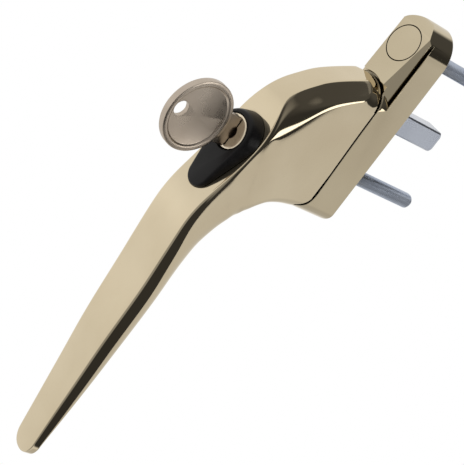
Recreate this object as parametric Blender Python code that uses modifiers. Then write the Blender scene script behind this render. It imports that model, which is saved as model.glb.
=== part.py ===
"""Key-locking espagnolette window handle, lever hanging down, in its installed state.

Frame: X to the right, Y into the window, Z up, metres.  The origin is the centre
of the spindle's free end, so the room side is -Y and the spindle axis is the Y axis.
Along this file "reach" is the distance from the mounting face into the room
(-Y) and "drop" is the distance below the spindle axis (-Z), both in millimetres.
Front means the room side.
"""
import math

import bmesh
import bpy
from mathutils import Matrix, Vector

for old in list(bpy.data.objects):
    bpy.data.objects.remove(old, do_unlink=True)

# ---------------------------------------------------------------- shared dimensions (mm)
MM = 0.001              # metres in a millimetre
SEGMENTS = 40           # facets on a full turn of the larger round parts
SWEEP_SEGMENTS = 96     # facets on the large sweeps round the spindle axis
GAP = 0.3               # running clearance between neighbours
PIN_GAP = 0.25          # clearance round a cross pin
BEHIND = -1.0           # reach where cutters start behind the mounting face
BEYOND = 30.0           # reach where cutters end in front of the base

HALF_W = 8.5            # half width of base and lever foot
SPINDLE = 7.0           # across flats
SPINDLE_OUT = 25.5      # length behind the mounting face
SPINDLE_IN = 24.6       # reach of its inner end, inside the lever
SPINDLE_PIN = 15.2      # reach of the cross pin through the spindle
SPINDLE_PIN_R = 1.1
SQUARE_HALF = SPINDLE / 2 + GAP     # half width of the square holes round the spindle
BUSH_R = 5.7            # drive bush
BUSH_HOLE_R = BUSH_R + GAP

SCREW_PITCH = 21.5      # screw centres above and below the spindle (43 mm pitch)
DETENT_REACH = 6.1      # detents in the base
BALL_R = 1.8

LOCK_D = 25.1           # drop of the lock axis
BARREL_R = 6.6
PLUG_HEAD_R = 5.55
STEM_R = 7.2            # round stem behind the lock surround
SURROUND_SEAT = 40.2    # reach where the barrel bore widens for that stem
BOLT_D = 13.5           # drop of the locking bolt
BOLT_HOLE_R = 2.2

COVER_HALF_W = 6.1      # cover on the lever's rear cavity
COVER_TOP = 8.3         # drop of its upper edge
COVER_LOW = 30.1        # drop of its lower edge

# reach of each wafer, depth of the key's cut for it
WAFERS = ((29.4, 1.3), (31.7, 0.6), (34.0, 1.7), (36.3, 0.9), (38.6, 1.5))
WAFER_HALF = 0.5        # half thickness

ENDS = (("upper", -1), ("lower", 1))    # sign of the drop
SIDES = (("right", 1), ("left", -1))    # sign of x


def at(x, reach, drop):
    return Vector((x * MM, -(reach + SPINDLE_OUT) * MM, -drop * MM))


def plan_point(x, drop, reach):
    return at(x, reach, drop)


def side_point(reach, drop, x):
    return at(x, reach, drop)


# ---------------------------------------------------------------- collections, materials
scene = bpy.context.scene
parts = bpy.data.collections.new("window_handle")
tools = bpy.data.collections.new("cutters")
scene.collection.children.link(parts)
scene.collection.children.link(tools)


def material(name, colour, roughness, metallic):
    mat = bpy.data.materials.new(name)
    mat.use_nodes = True
    shader = mat.node_tree.nodes["Principled BSDF"]
    shader.inputs["Base Color"].default_value = (*colour, 1.0)
    shader.inputs["Roughness"].default_value = roughness
    shader.inputs["Metallic"].default_value = metallic
    return mat


GOLD = material("polished_gold", colour=(0.62, 0.54, 0.38), roughness=0.14, metallic=1.0)
GOLD_FACE = material("plated_lock_face", colour=(0.68, 0.58, 0.42), roughness=0.25, metallic=1.0)
BLACK = material("black_plastic", colour=(0.012, 0.012, 0.014), roughness=0.38, metallic=0.0)
ZINC = material("bright_zinc", colour=(0.55, 0.58, 0.66), roughness=0.35, metallic=1.0)
STEEL = material("spring_steel", colour=(0.45, 0.46, 0.48), roughness=0.3, metallic=1.0)
BRASS = material("turned_brass", colour=(0.65, 0.47, 0.2), roughness=0.3, metallic=1.0)
NICKEL = material("nickel_silver", colour=(0.6, 0.55, 0.47), roughness=0.28, metallic=1.0)


# ---------------------------------------------------------------- shape helpers
# In all of them, a shape without a material is a hidden cutter.
def add(name, mesh, mat=None):
    ob = bpy.data.objects.new(name, mesh)
    if mat:
        parts.objects.link(ob)
        mesh.materials.append(mat)
    else:
        tools.objects.link(ob)
        ob.hide_render = True
        ob.display_type = "WIRE"
    return ob


def finish(name, bm, mat):
    """Turn a bmesh into an object."""
    mesh = bpy.data.meshes.new(name)
    bm.to_mesh(mesh)
    bm.free()
    return add(name, mesh, mat)


def box(name, x0, x1, reach0, reach1, drop0, drop1, mat=None):
    """Rectangular block between two opposite corners."""
    bm = bmesh.new()
    bmesh.ops.create_cube(bm, size=1.0)
    a, b = at(x0, reach0, drop0), at(x1, reach1, drop1)
    size = Vector([abs(b[i] - a[i]) for i in range(3)])
    bmesh.ops.scale(bm, vec=size, verts=bm.verts)
    bmesh.ops.translate(bm, vec=(a + b) / 2, verts=bm.verts)
    return finish(name, bm, mat)


def rod(name, radius, start, end, segments=SEGMENTS, mat=None):
    """Cylinder between two points."""
    bm = bmesh.new()
    axis = end - start
    bmesh.ops.create_cone(bm, cap_ends=True, segments=segments, radius1=radius * MM,
                          radius2=radius * MM, depth=axis.length)
    turn = axis.to_track_quat("Z", "X").to_matrix().to_4x4()
    place = Matrix.Translation((start + end) / 2) @ turn
    bmesh.ops.transform(bm, matrix=place, verts=bm.verts)
    return finish(name, bm, mat)


def bore(name, radius, reach0, reach1, drop=0.0, segments=SEGMENTS, mat=None):
    """Cylinder parallel to the spindle, centred in x."""
    return rod(name, radius, at(0, reach0, drop), at(0, reach1, drop), segments, mat)


def cross_rod(name, radius, half_length, reach, drop, segments, mat=None):
    """Cylinder along x."""
    return rod(name, radius, at(-half_length, reach, drop), at(half_length, reach, drop),
               segments, mat)


def revolve(name, profile, location, rotation, segments, mat=None, closed=False):
    """Spin (radius, height) points about the object's own Z axis."""
    mesh = bpy.data.meshes.new(name)
    verts = [(radius * MM, 0.0, height * MM) for radius, height in profile]
    edges = [(i, i + 1) for i in range(len(verts) - 1)]
    if closed:
        edges.append((len(verts) - 1, 0))
    mesh.from_pydata(verts, edges, [])
    ob = add(name, mesh, mat)
    ob.rotation_euler = rotation
    ob.location = location
    spin = ob.modifiers.new("turn", "SCREW")
    spin.axis = "Z"
    spin.angle = math.radians(360)
    spin.steps = segments
    spin.render_steps = segments
    spin.use_merge_vertices = True
    spin.merge_threshold = 0.00001
    return ob


def turned(name, profile, drop=0.0, segments=SEGMENTS, mat=None, closed=False):
    """Turned piece about an axis parallel to the spindle.

    profile lists (radius, reach); a ring, whose profile joins up, is closed.
    """
    return revolve(name, profile, at(0, 0, drop), (math.radians(90), 0, 0),
                   segments, mat, closed)


def prism(name, outline, place, depth0, depth1, mat=None):
    """Flat outline pushed from depth0 to depth1; place(a, b, depth) gives a point."""
    bm = bmesh.new()
    face = bm.faces.new([bm.verts.new(place(a, b, depth0)) for a, b in outline])
    pushed = bmesh.ops.extrude_face_region(bm, geom=[face])["geom"]
    move = place(*outline[0], depth1) - place(*outline[0], depth0)
    bmesh.ops.translate(bm, vec=move,
                        verts=[v for v in pushed if isinstance(v, bmesh.types.BMVert)])
    bmesh.ops.recalc_face_normals(bm, faces=bm.faces)
    return finish(name, bm, mat)


def loft(name, rings, mat=None, closed=False):
    """Skin over rings of points, capped at both ends, or joined up when closed."""
    bm = bmesh.new()
    rows = [[bm.verts.new(point) for point in ring] for ring in rings]
    count = len(rows[0])
    following = rows[1:] + rows[:1] if closed else rows[1:]
    for a, b in zip(rows, following):
        for i in range(count):
            j = (i + 1) % count
            bm.faces.new((a[i], a[j], b[j], b[i]))
    if not closed:
        bm.faces.new(rows[0])
        bm.faces.new(rows[-1])
    bmesh.ops.recalc_face_normals(bm, faces=bm.faces)
    return finish(name, bm, mat)


def cut(ob, *cutters, operation="DIFFERENCE"):
    for cutter in cutters:
        mod = ob.modifiers.new(operation.lower() + "_" + cutter.name, "BOOLEAN")
        mod.operation = operation
        mod.solver = "EXACT"
        mod.object = cutter


def limit_box(name, reach, drop0, drop1):
    """Wide block that trims a turned cutter up to the given reach."""
    return box(name, -60, 60, 5, reach, drop0, drop1)


# ---------------------------------------------------------------- base plate
BASE_TOP = -31.1        # drop of the upper end of the base
BASE_LOW = 37.2         # drop of the lower end of the base
BASE_BLANK = 16.0       # thickness before the front is cut to shape
RECESS_FLOOR = 12.3     # reach of the recess under the middle of the lever
RIM = 12.68             # reach of the deck round the collar; it falls away outwards
COLLAR_R = 8.95         # round collar of the base under the lever's head
SWEEP_R = 9.25          # clearance circle the lever's head turns in
NOSE_D = -27.0          # drop where the boss's front turns down to the upper end
NOSE_LOW = 7.2          # reach where that rounding meets the end face
BOSS_FRONT = 14.4       # reach of the boss's sloping front at BOSS_FRONT_D
BOSS_FRONT_D = -7.5
BOSS_SLOPE = 0.149      # gain in reach per mm of drop
BAND = 9.6              # reach of the side band beside the screw boss
BEVEL_FOOT = BAND + 0.6  # reach where the bevel starts
BEVEL_FOOT_X = 7.5
BEVEL_TOP_X = 5.0       # half width where the bevel meets BOSS_FRONT

FOOT_SPACE = [  # (radius, reach): flat to 30.5 mm, then the base lips up
    (0, 60), (36.3, 60), (36.3, 16.2), (35.7, 14.6), (34.8, 13.3), (33.6, 12.3),
    (32.3, 11.8), (30.5, 11.55), (8.5, RIM), (0, RIM + 0.02),
]
SEAT_FLOOR = RIM + 0.11
HEAD_SEAT = [  # (radius, reach)
    (0, 30), (SWEEP_R + 1.1, 30), (SWEEP_R + 1.1, 16.4), (SWEEP_R + 0.1, 13.9),
    (SWEEP_R, 12.9), (SWEEP_R, SEAT_FLOOR), (0, SEAT_FLOOR),
]
SCREW_SEAT_R = {"upper": 5.95, "lower": 5.5}    # the cap closes the upper one


def end_arc(sign, end_drop, depth, power, steps):
    """Rounded end of the base as (x, drop).

    sign is 1 for the lower end, right to left, and -1 for the upper, left to right.
    """
    points = []
    for i in range(2 * steps + 1):
        angle = math.pi * i / (2 * steps)
        across, along = math.cos(angle), math.sin(angle)
        x = sign * HALF_W * math.copysign(abs(across) ** (2 / power), across)
        points.append((x, end_drop - sign * depth + sign * depth * along ** (2 / power)))
    return points


def front_slope(drop):
    """Reach of the sloping front face of the screw boss."""
    return BOSS_FRONT + BOSS_SLOPE * (drop - BOSS_FRONT_D)


def boss_front_cutter():
    """Block in front of the boss's slope and its rounded nose."""
    steps = 8
    rise = front_slope(NOSE_D) - NOSE_LOW
    length = NOSE_D - BASE_TOP + 0.05
    outline = []
    for i in range(steps + 1):
        angle = 0.5 * math.pi * i / steps
        outline.append((NOSE_LOW + rise * math.sin(angle), NOSE_D - length * math.cos(angle)))
    outline += [(front_slope(-8), -8), (BEYOND, -8), (BEYOND, -40), (NOSE_LOW, -40)]
    return prism("boss_front", outline, side_point, -12, 12)


def bevel_cutter(word, sign):
    """Side bevel and ledge of the boss, stopping at the round collar."""
    section = [(BEVEL_FOOT_X, BAND), (BEVEL_FOOT_X, BEVEL_FOOT), (BEVEL_TOP_X, BOSS_FRONT),
               (2.5, 18.6), (20, 18.6), (20, BAND)]     # (x, reach)
    rings = [[at(sign * x, reach, drop) for x, reach in section] for drop in (-40.0, -0.6)]
    cutter = loft("boss_bevel_" + word, rings)
    cut(cutter, bore("collar_keep", COLLAR_R, 0, 40, segments=90))
    return cutter


def build_base(boss_front):
    outline = (end_arc(1, BASE_LOW, depth=4.5, power=2.2, steps=9)
               + end_arc(-1, BASE_TOP, depth=10.4, power=2.05, steps=10))
    base = prism("base_plate", outline, plan_point, 0.0, BASE_BLANK, GOLD)

    # room for the lever foot to turn over the deck
    foot_space = turned("foot_space", FOOT_SPACE, segments=SWEEP_SEGMENTS)
    cut(foot_space, limit_box("foot_space_limit", 70, -60, -8.8),
        limit_box("horn_limit", 13.0, -60, -1.2))
    # the lever's round head turns in a seat let into the boss
    head_seat = turned("head_seat", HEAD_SEAT, segments=SWEEP_SEGMENTS)
    cut(head_seat, limit_box("head_seat_limit", 70, -1.07, 60))
    cut(base, foot_space, head_seat, bore("inner_recess", 8.0, RECESS_FLOOR, BEYOND, segments=64))

    cut(base, boss_front)
    for word, sign in SIDES:
        cut(base, bevel_cutter(word, sign))

    channel_half = 14.6
    cut(base,
        bore("spindle_bore", BUSH_HOLE_R, BEHIND, BEYOND),
        bore("rear_counterbore", 7.3, BEHIND, 3.75),
        rod("detent_channels", BALL_R + GAP, at(0, DETENT_REACH, -channel_half),
            at(0, DETENT_REACH, channel_half), 24),
        bore("bolt_socket", BOLT_HOLE_R, 8.9, 20, BOLT_D, 24))
    for word, sign in ENDS:
        radius = SCREW_SEAT_R[word]
        profile = [(0, BEYOND), (radius, BEYOND), (radius, 5.4), (5.3, 5.4), (2.8, 2.9),
                   (2.8, BEHIND), (0, BEHIND)]
        cut(base, turned("screw_seat_" + word, profile, sign * SCREW_PITCH, 32))
    for word, sign in ENDS:
        cut(base, box("rear_pocket_" + word, -5.2, 5.2, BEHIND, 2.4, sign * 9.4, sign * 16.6))
    return base


# ---------------------------------------------------------------- lever casting
# Stations along the lever: front line (reach, drop), back line (reach, drop),
# half width of the front flat, length of the bevel, half width, length of the
# rounded back, roundness of the back.
STATIONS = [
    (12.6, -8.7, 12.6, 36.9, 4.0, 4.3, 8.5, 4.5, 2.2),
    (15.6, -8.6, 15.8, 37.4, 4.0, 4.3, 8.5, 4.5, 2.2),
    (22.5, -6.3, 20.5, 38.2, 4.0, 4.7, 8.5, 4.6, 2.2),
    (28.4, -3.7, 24.0, 39.3, 4.0, 5.4, 8.5, 4.8, 2.2),
    (33.0, -1.2, 26.3, 40.5, 4.0, 6.2, 8.5, 5.0, 2.2),
    (37.0, 1.8, 28.0, 42.0, 4.0, 7.0, 8.5, 5.2, 2.2),
    (40.6, 5.0, 29.2, 43.4, 4.1, 7.6, 8.5, 5.5, 2.2),
    (42.7, 8.2, 30.1, 44.7, 4.5, 7.2, 8.5, 6.0, 2.2),
    (43.3, 12.0, 31.0, 46.0, 5.8, 5.8, 8.5, 6.5, 2.1),
    (43.4, 18.0, 31.8, 47.4, 7.6, 3.0, 8.5, 7.2, 2.1),
    (44.0, 25.0, 32.6, 49.0, 8.2, 1.2, 8.5, 8.0, 2.0),
    (45.2, 31.0, 33.4, 50.9, 8.3, 1.1, 8.6, 8.4, 2.0),
    (46.6, 36.5, 34.2, 53.0, 8.1, 1.3, 8.6, 8.8, 2.0),
    (48.1, 41.5, 34.9, 55.3, 7.9, 1.7, 8.6, 9.0, 2.0),
    (49.4, 46.5, 35.5, 57.8, 7.8, 2.3, 8.6, 9.2, 2.0),
    (50.0, 52.0, 35.9, 60.4, 7.8, 2.9, 8.6, 9.4, 2.0),
    (49.7, 58.0, 36.2, 63.8, 7.9, 3.4, 8.65, 9.0, 2.0),
    (48.9, 66.0, 36.3, 69.4, 7.9, 3.9, 8.6, 8.4, 2.0),
    (47.9, 75.0, 36.2, 76.6, 7.8, 4.2, 8.5, 7.2, 2.0),
    (46.9, 88.0, 35.9, 88.0, 7.4, 4.2, 8.1, 6.6, 2.0),
    (45.9, 100.0, 35.8, 100.0, 6.8, 4.0, 7.5, 6.0, 2.0),
    (44.7, 110.0, 35.9, 110.0, 6.25, 3.8, 6.9, 4.9, 2.0),
    (43.5, 120.0, 36.2, 120.0, 5.7, 3.4, 6.3, 3.8, 2.0),
    (42.3, 130.0, 36.9, 130.0, 5.15, 2.9, 5.7, 2.4, 2.0),
    (41.3, 138.0, 37.7, 138.0, 4.75, 2.3, 5.2, 1.2, 2.0),
]
TIP_D = 143.7           # drop of the lever's end
TIP_STEPS = (0.3, 0.5, 0.68, 0.84, 0.96)    # quarter-turn fractions of the tip rings
CAVITY = 23.3           # reach of the ceiling of the lever's rear cavity

LIP_SPACE = [  # (radius, reach): underside of the foot follows the base's lip
    (50, 16.5), (50, 11.0), (7.7, 11.0), (7.7, 13.42), (8.5, 13.4), (30.2, 12.27),
    (31.9, 12.5), (33.1, 12.95), (34.2, 13.85), (35.1, 15.1), (35.8, 16.5),
]
HEAD_ROUND = [  # (radius, reach): the head's round where it meets the base
    (30, 24.5), (30, 11.0), (8.53, 11.0), (8.53, 13.9), (8.65, 15.0), (9.0, 17.0),
    (9.9, 19.5), (11.5, 22.0), (15, 24.5),
]


def hermite(before, start, end, after, t):
    slope0, slope1 = (end - before) / 2, (after - start) / 2
    return ((2 * t ** 3 - 3 * t ** 2 + 1) * start + (t ** 3 - 2 * t ** 2 + t) * slope0
            + (-2 * t ** 3 + 3 * t ** 2) * end + (t ** 3 - t ** 2) * slope1)


def station(u):
    """Smoothly interpolated station; u runs from 0 to len(STATIONS) - 1."""
    last = len(STATIONS) - 1
    i = min(int(u), last - 1)
    rows = [STATIONS[max(0, min(last, k))] for k in (i - 1, i, i + 1, i + 2)]
    return [hermite(*column, u - i) for column in zip(*rows)]


def lever_ring(values, squeeze=1.0):
    """Closed section of the lever as world points, front centre first."""
    (front_reach, front_drop, back_reach, back_drop,
     flat, bevel, half_width, back_length, power) = values
    flat_steps, wall_steps, back_steps = 2, 3, 7
    length = math.hypot(back_reach - front_reach, back_drop - front_drop)
    back_length = min(back_length, length - bevel - 0.05)
    wall = length - back_length - bevel
    # (x, distance from the front line)
    half = [(flat * i / flat_steps, 0.0) for i in range(flat_steps + 1)]
    half.append((half_width, bevel))
    half += [(half_width, bevel + wall * i / wall_steps) for i in range(1, wall_steps + 1)]
    for i in range(1, back_steps + 1):
        angle = 0.5 * math.pi * i / back_steps
        x = half_width * abs(math.cos(angle)) ** (2 / power) if i < back_steps else 0.0
        half.append((x, length - back_length + back_length * math.sin(angle) ** (2 / power)))
    points = half + [(-x, t) for x, t in reversed(half[1:-1])]
    return [at(x * squeeze,
               front_reach + (back_reach - front_reach) * t / length,
               front_drop + (back_drop - front_drop) * t / length) for x, t in points]


def tip_ring(fraction):
    """Section of the rounded end; 0 is the last station, 1 the end."""
    angle = 0.5 * math.pi * fraction
    front_reach, last_drop, back_reach, _, *rest = STATIONS[-1]
    drop = last_drop + (TIP_D - last_drop) * math.sin(angle)
    values = [front_reach - 0.6 * math.sin(angle), drop,
              back_reach + 0.25 * math.sin(angle), drop, *rest]
    return lever_ring(values, squeeze=max(math.cos(angle), 0.12))


def build_lever():
    rings = [lever_ring(station(k * 0.5)) for k in range(2 * (len(STATIONS) - 1) + 1)]
    rings += [tip_ring(fraction) for fraction in TIP_STEPS]
    lever = loft("lever", rings, GOLD)

    cut(lever, turned("lip_space", LIP_SPACE, segments=SWEEP_SEGMENTS, closed=True))
    head_round = turned("head_round", HEAD_ROUND, segments=SWEEP_SEGMENTS, closed=True)
    cut(head_round, limit_box("head_round_limit", 70, -0.7, 60))
    seat_half = COVER_HALF_W + GAP
    cut(lever, head_round,
        bore("bush_bore", BUSH_HOLE_R, 10, 19.0),
        box("spindle_socket", -SQUARE_HALF, SQUARE_HALF, 15, SPINDLE_IN + GAP,
            -SQUARE_HALF, SQUARE_HALF),
        box("rear_cavity", -5.4, 5.4, 10, CAVITY, 9.4, 30.3),
        box("cover_seat", -seat_half, seat_half, 10, 13.8, COVER_TOP - GAP, COVER_LOW + GAP),
        bore("barrel_bore", BARREL_R + GAP, 20, SURROUND_SEAT, LOCK_D),
        bore("surround_seat", STEM_R + GAP, SURROUND_SEAT, 60, LOCK_D, 48))
    return lever


# ---------------------------------------------------------------- lock surround
TAIL_D = 40.2           # drop of the tail's centre
# reach over the lock, large radius, small radius, rise of the tail per mm of drop
SURROUND_LEVELS = [
    (40.0, 8.05, 5.0, 0.0), (43.5, 7.85, 4.9, 0.0), (47.3, 7.3, 4.6, 0.03),
    (48.5, 6.95, 4.3, 0.045), (49.0, 6.4, 3.8, 0.045),
]


def teardrop(lock_radius, tail_radius, steps=12):
    """Outline as (x, drop): a large arc at the lock, a small arc at the tail."""
    lean = math.asin((lock_radius - tail_radius) / (TAIL_D - LOCK_D))
    points = []
    for i in range(2 * steps + 1):                 # over the lock, right to left
        angle = -lean + (math.pi + 2 * lean) * i / (2 * steps)
        points.append((lock_radius * math.cos(angle), LOCK_D - lock_radius * math.sin(angle)))
    for i in range(steps + 1):                     # round the tail, left to right
        angle = math.pi + lean + (math.pi - 2 * lean) * i / steps
        points.append((tail_radius * math.cos(angle), TAIL_D - tail_radius * math.sin(angle)))
    return points


def build_surround():
    rings = [[at(x, reach + rise * (drop - LOCK_D), drop)
              for x, drop in teardrop(lock_radius, tail_radius)]
             for reach, lock_radius, tail_radius, rise in SURROUND_LEVELS]
    surround = loft("lock_surround", rings, BLACK)
    # the underside follows the lever's front between stations 6 and 16
    lever_front = []
    for k in range(6 * 4, 16 * 4 + 1):
        reach, drop = station(k / 4)[:2]
        lever_front.append((reach + GAP, drop))
    end_drop = lever_front[-1][1]
    outline = [(20, -5), (41, -5)] + lever_front + [(30, end_drop), (20, end_drop)]
    cut(surround, prism("surround_underside", outline, side_point, -14, 14))
    stem = bore("surround_stem", STEM_R, 40.5, 47.0, LOCK_D, 48)
    cut(surround, stem, operation="UNION")
    cut(surround, bore("surround_bore", PLUG_HEAD_R + GAP, 30, 60, LOCK_D, 48))


# ---------------------------------------------------------------- spindle and its fixings
SPINDLE_SECTIONS = [  # half width, corner chamfer, reach
    (2.5, 0.7, -SPINDLE_OUT), (SPINDLE / 2, 0.9, -SPINDLE_OUT + 1.6),
    (SPINDLE / 2, 0.9, SPINDLE_IN - 0.6), (3.0, 0.8, SPINDLE_IN),
]
BUSH = [  # (radius, reach)
    (0, 18.6), (BUSH_R, 18.6), (BUSH_R, 8.2), (4.95, 8.2), (4.95, 4.0), (BUSH_R, 4.0),
    (BUSH_R, 2.9), (4.9, 2.9), (4.9, 1.9), (BUSH_R, 1.9), (BUSH_R, 1.1), (0, 1.1),
]


def ring_profile(outer, inner, front, back):
    """Rectangular ring section as (radius, reach)."""
    return [(outer, front), (outer, back), (inner, back), (inner, front)]


def chamfered_square(half, chamfer):
    """Corners as (x, drop)."""
    k = half - chamfer
    return [(half, -k), (half, k), (k, half), (-k, half),
            (-half, k), (-half, -k), (-k, -half), (k, -half)]


def pin_hole(name):
    return rod(name, SPINDLE_PIN_R + PIN_GAP, at(0, SPINDLE_PIN, -8), at(0, SPINDLE_PIN, 8), 20)


def build_spindle():
    rings = [[at(x, reach, drop) for x, drop in chamfered_square(half, chamfer)]
             for half, chamfer, reach in SPINDLE_SECTIONS]
    spindle = loft("spindle", rings, ZINC)
    cut(spindle, pin_hole("spindle_pin_hole"))
    rod("spindle_pin", SPINDLE_PIN_R, at(0, SPINDLE_PIN, -5.4), at(0, SPINDLE_PIN, 5.4), 20, STEEL)


def build_bush():
    bush = turned("drive_bush", BUSH, mat=STEEL)
    cut(bush,
        prism("bush_square", chamfered_square(SQUARE_HALF, 1.15), plan_point, -2, 22),
        pin_hole("bush_pin_hole"))


def build_rings():
    circlip = turned("retaining_circlip", ring_profile(6.8, 5.15, 2.72, 2.08),
                     mat=STEEL, closed=True)
    cut(circlip, box("circlip_gap", -1.1, 1.1, 0, 5, 3, 9))
    turned("thrust_washer", ring_profile(6.9, 6.0, 3.5, 2.95), mat=STEEL, closed=True)
    turned("rear_cover_ring", ring_profile(7.0, 5.3, 0.85, 0.15), mat=STEEL, closed=True)


# ---------------------------------------------------------------- detents in the base
def coil(name, start, end, radius, wire, turns, per_turn=10):
    """Compression spring between two points; wire is its diameter."""
    curve = bpy.data.curves.new(name, "CURVE")
    curve.dimensions = "3D"
    spline = curve.splines.new("POLY")
    axis = end - start
    turn = axis.to_track_quat("Z", "X")
    count = int(turns * per_turn)
    spline.points.add(count)
    for i in range(count + 1):
        angle = 2 * math.pi * i / per_turn
        local = Vector((radius * MM * math.cos(angle), radius * MM * math.sin(angle),
                        axis.length * i / count))
        spline.points[i].co = (*(start + turn @ local), 1)
    curve.bevel_depth = wire * MM / 2
    curve.bevel_resolution = 1
    curve.use_fill_caps = True
    wire_ob = bpy.data.objects.new(name + "_wire", curve)
    scene.collection.objects.link(wire_ob)
    depsgraph = bpy.context.evaluated_depsgraph_get()
    mesh = bpy.data.meshes.new_from_object(wire_ob.evaluated_get(depsgraph))
    mesh.name = name
    # weld the end caps to the tube
    bm = bmesh.new()
    bm.from_mesh(mesh)
    bmesh.ops.remove_doubles(bm, verts=bm.verts, dist=0.000001)
    bmesh.ops.recalc_face_normals(bm, faces=bm.faces)
    bm.to_mesh(mesh)
    bm.free()
    bpy.data.objects.remove(wire_ob, do_unlink=True)
    mesh.materials.clear()
    return add(name, mesh, STEEL)


def build_detents():
    for word, sign in ENDS:
        bm = bmesh.new()
        bmesh.ops.create_uvsphere(bm, u_segments=16, v_segments=10, radius=BALL_R * MM)
        bmesh.ops.translate(bm, vec=at(0, DETENT_REACH, sign * 6.95), verts=bm.verts)
        finish("detent_ball_" + word, bm, STEEL)
        coil("detent_spring_" + word, at(0, DETENT_REACH, sign * 9.3),
             at(0, DETENT_REACH, sign * 14.1), radius=1.4, wire=0.5, turns=4.5)


# ---------------------------------------------------------------- fixing screws
SCREW_HEAD = 5.2        # reach of the screw head's top
SCREW_END = SCREW_HEAD - 40.0       # M5 x 40
SCREW = [  # (radius, reach)
    (0, SCREW_HEAD), (4.5, SCREW_HEAD), (4.7, SCREW_HEAD - 0.12), (4.6, SCREW_HEAD - 0.3),
    (2.5, SCREW_HEAD - 2.4), (2.4, SCREW_HEAD - 3.2), (2.4, SCREW_END + 0.5),
    (1.9, SCREW_END), (0, SCREW_END),
]
CROSS_LONG = 2.4        # half length of a slot of the cross recess
CROSS_SHORT = 0.55      # half width of a slot


def cross_taper(value):
    """Half size at the bottom of the cross recess from that at the top."""
    return value * (0.45 if abs(value) > 1 else 0.8)


def build_screws():
    for word, sign in ENDS:
        centre = sign * SCREW_PITCH
        screw = turned("fixing_screw_" + word, SCREW, centre, 28, ZINC)
        for tag, half_x, half_drop in (("a", CROSS_LONG, CROSS_SHORT),
                                       ("b", CROSS_SHORT, CROSS_LONG)):
            corners = [(half_x, -half_drop), (half_x, half_drop),
                       (-half_x, half_drop), (-half_x, -half_drop)]
            top = [at(x, SCREW_HEAD + 0.5, centre + z) for x, z in corners]
            bottom = [at(cross_taper(x), SCREW_HEAD - 2.0, centre + cross_taper(z))
                      for x, z in corners]
            cut(screw, loft("cross_%s_%s" % (word, tag), [bottom, top]))


# ---------------------------------------------------------------- screw cap
def build_cap(boss_front):
    """A cylinder trimmed to the facets of the boss, hollow behind."""
    centre = -SCREW_PITCH
    cap = bore("screw_cap", 5.6, 6.2, 20, centre, mat=GOLD)
    section = [(BEVEL_FOOT_X, -2), (BEVEL_FOOT_X, BEVEL_FOOT), (BEVEL_TOP_X, BOSS_FRONT),
               (-BEVEL_TOP_X, BOSS_FRONT), (-BEVEL_FOOT_X, BEVEL_FOOT), (-BEVEL_FOOT_X, -2)]
    cut(cap, prism("cap_form", section, at, -45.0, 4.0), operation="INTERSECT")
    cut(cap, boss_front,
        bore("cap_hollow", 4.7, 0, 8.6, centre, 32),
        box("cap_split", -7, 7, 0, 7.9, centre - 0.7, centre + 0.7))


# ---------------------------------------------------------------- lock: barrel, plug, wafers
LOCK_FACE = 48.8        # reach of the plug face
HEAD_BACK = 46.0        # reach of the back of the plug's head
PLUG_R = 5.2
PLUG_END = 24.9         # reach where the plug narrows to its tail
CAM_PIN = 21.25         # reach of the cross pin through the plug's tail
CAM_PIN_R = 0.9
BARREL = [  # (radius, reach)
    (BARREL_R, 39.9), (BARREL_R, 23.6), (3.2, 23.6), (3.2, 24.6), (5.5, 24.6), (5.5, 39.9),
]
PLUG = [  # (radius, reach)
    (0, LOCK_FACE), (5.4, LOCK_FACE), (PLUG_HEAD_R, LOCK_FACE - 0.15),
    (PLUG_HEAD_R, HEAD_BACK), (PLUG_R, HEAD_BACK), (PLUG_R, PLUG_END),
    (2.8, PLUG_END), (2.8, 19.4), (0, 19.4),
]
WAFER = [  # (x, drop) from the lock axis
    (3.0, -4.05), (3.0, 4.05), (1.9, 4.7), (-1.9, 4.7),
    (-3.0, 4.05), (-3.0, -4.05), (-1.9, -4.7), (1.9, -4.7),
]


def lock_box(name, half_x, reach0, reach1, half_drop):
    """Block cutter centred on the lock axis."""
    return box(name, -half_x, half_x, reach0, reach1, LOCK_D - half_drop, LOCK_D + half_drop)


def build_wafer(number, reach):
    outline = [(x, LOCK_D + z) for x, z in WAFER]
    wafer = prism("wafer_%d" % number, outline, plan_point,
                  reach - WAFER_HALF, reach + WAFER_HALF, BRASS)
    cut(wafer, lock_box("wafer_window_%d" % number, 1.4, reach - 2, reach + 2, 4.0))


def build_lock():
    turned("lock_barrel", BARREL, LOCK_D, mat=BRASS, closed=True)
    plug = turned("lock_plug", PLUG, LOCK_D, 48, GOLD_FACE)
    cut(plug, lock_box("keyway", 1.15, 26.0, 60, 4.25),
        bore("keyway_eye", 2.25, 42.5, 60, LOCK_D, 28))
    slot_half = WAFER_HALF + GAP
    for number, (reach, _) in enumerate(WAFERS, start=1):
        cut(plug, lock_box("wafer_slot_%d" % number, 3.4, reach - slot_half,
                           reach + slot_half, 6))
        build_wafer(number, reach)
    cut(plug, cross_rod("cam_pin_hole", CAM_PIN_R + PIN_GAP, 6, CAM_PIN, LOCK_D, 20))
    cross_rod("cam_pin", CAM_PIN_R, 4.4, CAM_PIN, LOCK_D, 16, STEEL)


# ---------------------------------------------------------------- locking bolt
BOLT_TRAVEL = 3.7       # bolt travel for a quarter turn of the key
COLLAR_LOW = 19.25      # reach of the ramped collar's low point


def ramp(angle):
    """Height of the collar above its low point; two equal ramps a turn (degrees)."""
    angle %= 180.0
    if angle < 90:
        return BOLT_TRAVEL * angle / 90
    if angle < 106:
        return BOLT_TRAVEL
    if angle < 158:
        return BOLT_TRAVEL * (158 - angle) / 52
    return 0.0


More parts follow.
